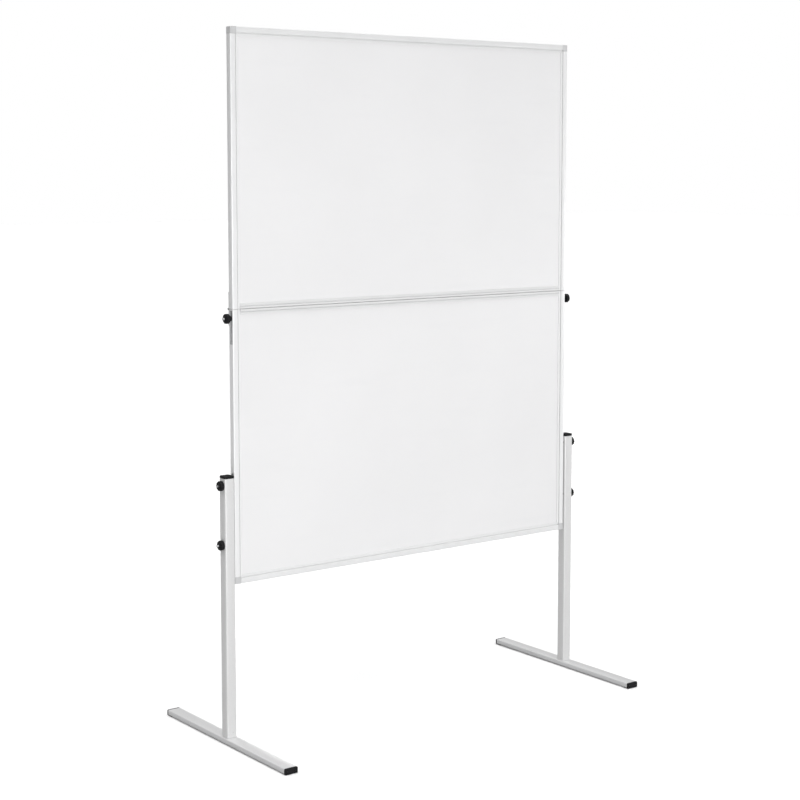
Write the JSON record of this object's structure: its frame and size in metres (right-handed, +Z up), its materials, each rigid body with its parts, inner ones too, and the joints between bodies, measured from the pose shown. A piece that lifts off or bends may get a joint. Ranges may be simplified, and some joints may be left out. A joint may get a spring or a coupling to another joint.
{
  "type": "folding whiteboard on stand",
  "caption": "White presentation board in two halves that fold at the middle, framed in light metal and clamped between uprights with T-feet.",
  "frame": {"origin": "on the floor, under the middle of the board", "axes": "+Z up, the height; +Y from the writing face to the back, the direction the feet run; +X from the left stand to the right stand as seen from the front"},
  "size_m": [1.302, 0.62, 1.941],
  "materials": {
    "writing_surface": "gloss",
    "back_sheet": "matte",
    "core_board": "matte",
    "frame_aluminium": "satin",
    "corner_plastic": "satin",
    "stand_paint": "satin",
    "black_plastic": "satin",
    "zinc_steel": "satin"
  },
  "bodies": {
    "left_stand": {"left_upright": "stand_paint", "left_upright_cap": "black_plastic", "left_upright_insert": "zinc_steel", "left_foot_tube": "stand_paint", "left_front_foot_cap": "black_plastic", "left_rear_foot_cap": "black_plastic", "left_foot_bolt": "zinc_steel", "left_upper_clamp_bolt": "zinc_steel", "left_upper_spacer": "black_plastic", "left_lower_clamp_bolt": "zinc_steel", "left_lower_spacer": "black_plastic"},
    "right_stand": {"right_upright": "stand_paint", "right_upright_cap": "black_plastic", "right_upright_insert": "zinc_steel", "right_foot_tube": "stand_paint", "right_front_foot_cap": "black_plastic", "right_rear_foot_cap": "black_plastic", "right_foot_bolt": "zinc_steel", "right_upper_clamp_bolt": "zinc_steel", "right_upper_spacer": "black_plastic", "right_lower_clamp_bolt": "zinc_steel", "right_lower_spacer": "black_plastic"},
    "lower_board": {"lower_front_sheet": "writing_surface", "lower_core": "core_board", "lower_back_sheet": "back_sheet", "lower_top_rail": "frame_aluminium", "lower_bottom_rail": "frame_aluminium", "lower_left_stile": "frame_aluminium", "lower_right_stile": "frame_aluminium", "lower_left_corner": "corner_plastic", "lower_left_cleat": "zinc_steel", "lower_right_corner": "corner_plastic", "lower_right_cleat": "zinc_steel", "left_hinge_lower_leaf": "zinc_steel", "right_hinge_lower_leaf": "zinc_steel", "left_hinge_pin": "zinc_steel", "right_hinge_pin": "zinc_steel"},
    "upper_board": {"upper_front_sheet": "writing_surface", "upper_core": "core_board", "upper_back_sheet": "back_sheet", "upper_top_rail": "frame_aluminium", "upper_bottom_rail": "frame_aluminium", "upper_left_stile": "frame_aluminium", "upper_right_stile": "frame_aluminium", "upper_left_corner": "corner_plastic", "upper_left_cleat": "zinc_steel", "upper_right_corner": "corner_plastic", "upper_right_cleat": "zinc_steel", "left_hinge_upper_leaf": "zinc_steel", "right_hinge_upper_leaf": "zinc_steel"},
    "left_lock": {"left_lock_bar": "zinc_steel", "left_lock_collar": "black_plastic"},
    "left_lock_knob_body": {"left_lock_knob": "black_plastic"},
    "left_upper_clamp_knob_body": {"left_upper_clamp_knob": "black_plastic"},
    "left_lower_clamp_knob_body": {"left_lower_clamp_knob": "black_plastic"},
    "right_lock": {"right_lock_bar": "zinc_steel", "right_lock_collar": "black_plastic"},
    "right_lock_knob_body": {"right_lock_knob": "black_plastic"},
    "right_upper_clamp_knob_body": {"right_upper_clamp_knob": "black_plastic"},
    "right_lower_clamp_knob_body": {"right_lower_clamp_knob": "black_plastic"}
  },
  "joints": [
    {"name": "board_height", "type": "slide", "parent": "left_stand", "child": "lower_board", "axis": [0, 0, 1], "range_m": [-0.02, 0.07]},
    {"name": "right_stand_height", "type": "slide", "parent": "lower_board", "child": "right_stand", "axis": [0, 0, -1], "range_m": [-0.02, 0.07]},
    {"name": "upper_board_fold", "type": "hinge", "parent": "lower_board", "child": "upper_board", "pos_m": [0, 0.014, 1.191], "axis": [-1, 0, 0], "range_deg": [0, 180]},
    {"name": "left_lock_slide", "type": "slide", "parent": "lower_board", "child": "left_lock", "axis": [0, 0, 1], "range_m": [-0.06, 0]},
    {"name": "left_lock_knob_turn", "type": "hinge", "parent": "left_lock", "child": "left_lock_knob_body", "pos_m": [-0.607, 0, 1.166], "axis": [-1, 0, 0], "continuous": true},
    {"name": "left_upper_clamp_knob_turn", "type": "hinge", "parent": "left_stand", "child": "left_upper_clamp_knob_body", "pos_m": [-0.638, 0, 0.715], "axis": [-1, 0, 0], "continuous": true},
    {"name": "left_lower_clamp_knob_turn", "type": "hinge", "parent": "left_stand", "child": "left_lower_clamp_knob_body", "pos_m": [-0.638, 0, 0.552], "axis": [-1, 0, 0], "continuous": true},
    {"name": "right_lock_slide", "type": "slide", "parent": "lower_board", "child": "right_lock", "axis": [0, 0, 1], "range_m": [-0.06, 0]},
    {"name": "right_lock_knob_turn", "type": "hinge", "parent": "right_lock", "child": "right_lock_knob_body", "pos_m": [0.607, 0, 1.166], "axis": [1, 0, 0], "continuous": true},
    {"name": "right_upper_clamp_knob_turn", "type": "hinge", "parent": "right_stand", "child": "right_upper_clamp_knob_body", "pos_m": [0.638, 0, 0.715], "axis": [1, 0, 0], "continuous": true},
    {"name": "right_lower_clamp_knob_turn", "type": "hinge", "parent": "right_stand", "child": "right_lower_clamp_knob_body", "pos_m": [0.638, 0, 0.552], "axis": [1, 0, 0], "continuous": true}
  ],
  "couplings": [
    {"joint": "right_stand_height", "follows": "board_height", "ratio": 1}
  ]
}
